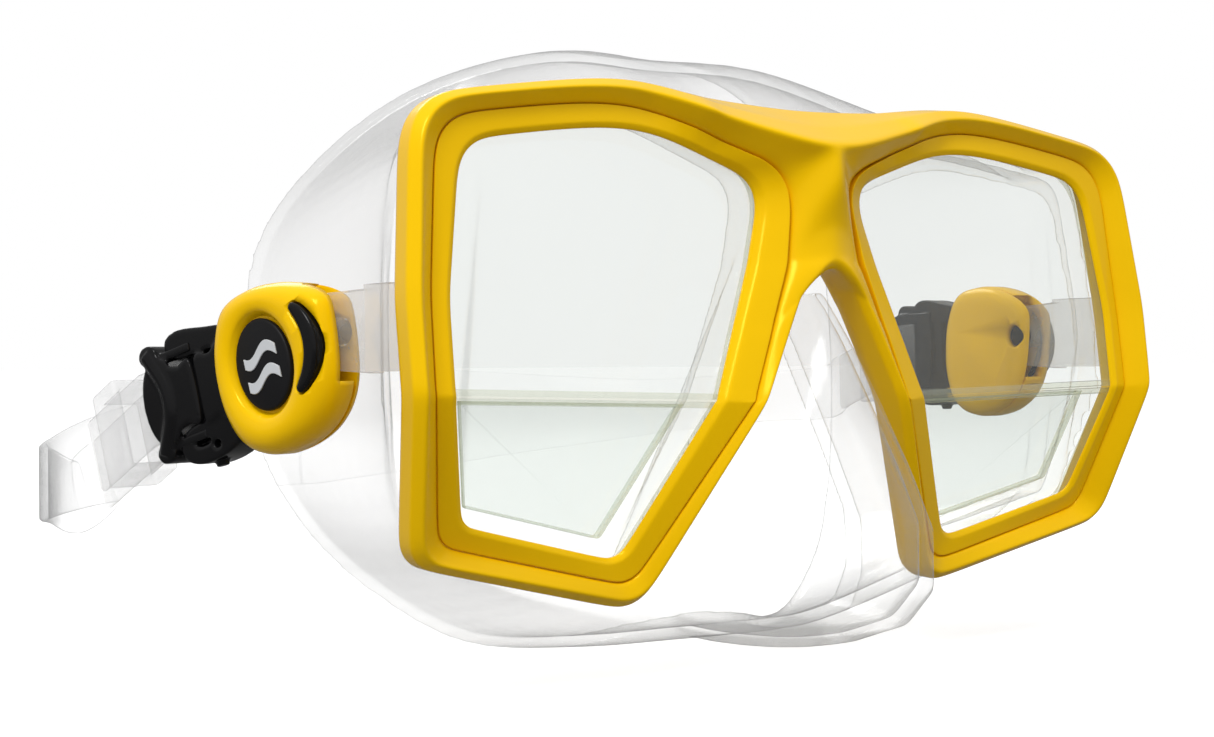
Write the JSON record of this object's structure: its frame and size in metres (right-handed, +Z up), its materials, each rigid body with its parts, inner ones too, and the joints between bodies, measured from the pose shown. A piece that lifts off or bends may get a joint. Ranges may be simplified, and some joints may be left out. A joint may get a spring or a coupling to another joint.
{
  "type": "diving mask",
  "caption": "Low two-window diving mask with folded prescription windows, a clear silicone skirt with nose pocket, and swivelling buckles that hold one strap round the head",
  "frame": {"origin": "middle of the footprint, at the height of the lowest point", "axes": "+X is the image right (wearer's left), +Y runs from the windows back to the head, +Z is up"},
  "size_m": [0.1906, 0.1885, 0.1129],
  "materials": {
    "main_frame": "gloss moulded",
    "bezel_left": "gloss moulded",
    "bezel_right": "gloss moulded",
    "lens_left": "tempered glass",
    "lens_right": "tempered glass",
    "reader_lens_left": "tempered glass",
    "reader_lens_right": "tempered glass",
    "skirt": "clear silicone",
    "side_arm_left": "clear silicone",
    "side_arm_right": "clear silicone",
    "pivot_pin_left": "satin",
    "pivot_pin_right": "satin",
    "strap_band": "clear silicone",
    "buckle_shell_left": "gloss moulded",
    "buckle_back_left": "gloss moulded",
    "badge_left": "satin",
    "strap_bracket_left": "gloss",
    "release_button_left": "gloss",
    "ratchet_pawl_left": "stainless",
    "strap_loop_left": "gloss",
    "loop_pin_upper_left": "stainless",
    "loop_pin_lower_left": "stainless",
    "strap_end_left": "clear silicone",
    "strap_keeper_left": "clear silicone",
    "strap_roller_left": "satin",
    "buckle_shell_right": "gloss moulded",
    "buckle_back_right": "gloss moulded",
    "badge_right": "satin",
    "strap_bracket_right": "gloss",
    "release_button_right": "gloss",
    "ratchet_pawl_right": "stainless",
    "strap_loop_right": "gloss",
    "loop_pin_upper_right": "stainless",
    "loop_pin_lower_right": "stainless",
    "strap_end_right": "clear silicone",
    "strap_keeper_right": "clear silicone",
    "strap_roller_right": "satin"
  },
  "bodies": {
    "mask": {"main_frame": "main_frame", "bezel_left": "bezel_left", "bezel_right": "bezel_right", "lens_left": "lens_left", "lens_right": "lens_right", "reader_lens_left": "reader_lens_left", "reader_lens_right": "reader_lens_right", "skirt": "skirt", "side_arm_left": "side_arm_left", "side_arm_right": "side_arm_right", "pivot_pin_left": "pivot_pin_left", "pivot_pin_right": "pivot_pin_right", "strap_band": "strap_band"},
    "buckle_left": {"buckle_shell_left": "buckle_shell_left", "buckle_back_left": "buckle_back_left", "badge_left": "badge_left", "strap_bracket_left": "strap_bracket_left"},
    "button_left": {"release_button_left": "release_button_left"},
    "pawl_left": {"ratchet_pawl_left": "ratchet_pawl_left"},
    "loop_left": {"strap_loop_left": "strap_loop_left", "loop_pin_upper_left": "loop_pin_upper_left", "loop_pin_lower_left": "loop_pin_lower_left", "strap_end_left": "strap_end_left", "strap_keeper_left": "strap_keeper_left"},
    "roller_left": {"strap_roller_left": "strap_roller_left"},
    "buckle_right": {"buckle_shell_right": "buckle_shell_right", "buckle_back_right": "buckle_back_right", "badge_right": "badge_right", "strap_bracket_right": "strap_bracket_right"},
    "button_right": {"release_button_right": "release_button_right"},
    "pawl_right": {"ratchet_pawl_right": "ratchet_pawl_right"},
    "loop_right": {"strap_loop_right": "strap_loop_right", "loop_pin_upper_right": "loop_pin_upper_right", "loop_pin_lower_right": "loop_pin_lower_right", "strap_end_right": "strap_end_right", "strap_keeper_right": "strap_keeper_right"},
    "roller_right": {"strap_roller_right": "strap_roller_right"}
  },
  "joints": [
    {"name": "buckle_swivel_left", "type": "hinge", "parent": "mask", "child": "buckle_left", "pos_m": [-0.07065, -0.05605, 0.0579], "axis": [-0.9205, -0.3907, 0], "range_deg": [-18, 18]},
    {"name": "release_press_left", "type": "slide", "parent": "buckle_left", "child": "button_left", "axis": [0.9205, 0.3907, 0], "range_m": [0, 0.0012], "stiffness_N_per_m": 250, "springref_m": -0.0004},
    {"name": "pawl_lift_left", "type": "hinge", "parent": "buckle_left", "child": "pawl_left", "pos_m": [-0.07534, -0.04499, 0.05446], "axis": [-0.1077, 0.2537, 0.9613], "range_deg": [0, 8]},
    {"name": "loop_rock_left", "type": "hinge", "parent": "buckle_left", "child": "loop_left", "pos_m": [-0.08213, -0.029, 0.04791], "axis": [-0.1077, 0.2537, 0.9613], "range_deg": [-8, 8]},
    {"name": "roller_spin_left", "type": "hinge", "parent": "loop_left", "child": "roller_left", "pos_m": [-0.08311, -0.0267, 0.0472], "axis": [-0.1077, 0.2537, 0.9613], "continuous": true},
    {"name": "buckle_swivel_right", "type": "hinge", "parent": "mask", "child": "buckle_right", "pos_m": [0.08575, -0.05355, 0.0579], "axis": [0.9969, -0.0785, 0], "range_deg": [-18, 18]},
    {"name": "release_press_right", "type": "slide", "parent": "buckle_right", "child": "button_right", "axis": [-0.9969, 0.0785, 0], "range_m": [0, 0.0012], "stiffness_N_per_m": 250, "springref_m": -0.0004},
    {"name": "pawl_lift_right", "type": "hinge", "parent": "buckle_right", "child": "pawl_right", "pos_m": [0.08673, -0.0411, 0.05746], "axis": [0.0027, 0.0348, 0.9994], "range_deg": [0, 8]},
    {"name": "loop_rock_right", "type": "hinge", "parent": "buckle_right", "child": "loop_right", "pos_m": [0.08818, -0.02272, 0.05532], "axis": [0.0027, 0.0348, 0.9994], "range_deg": [-8, 8]},
    {"name": "roller_spin_right", "type": "hinge", "parent": "loop_right", "child": "roller_right", "pos_m": [0.08838, -0.02013, 0.05523], "axis": [0.0027, 0.0348, 0.9994], "continuous": true}
  ],
  "couplings": [
    {"joint": "pawl_lift_left", "follows": "release_press_left", "rad_per_m": 116.35},
    {"joint": "pawl_lift_right", "follows": "release_press_right", "rad_per_m": 116.35}
  ]
}
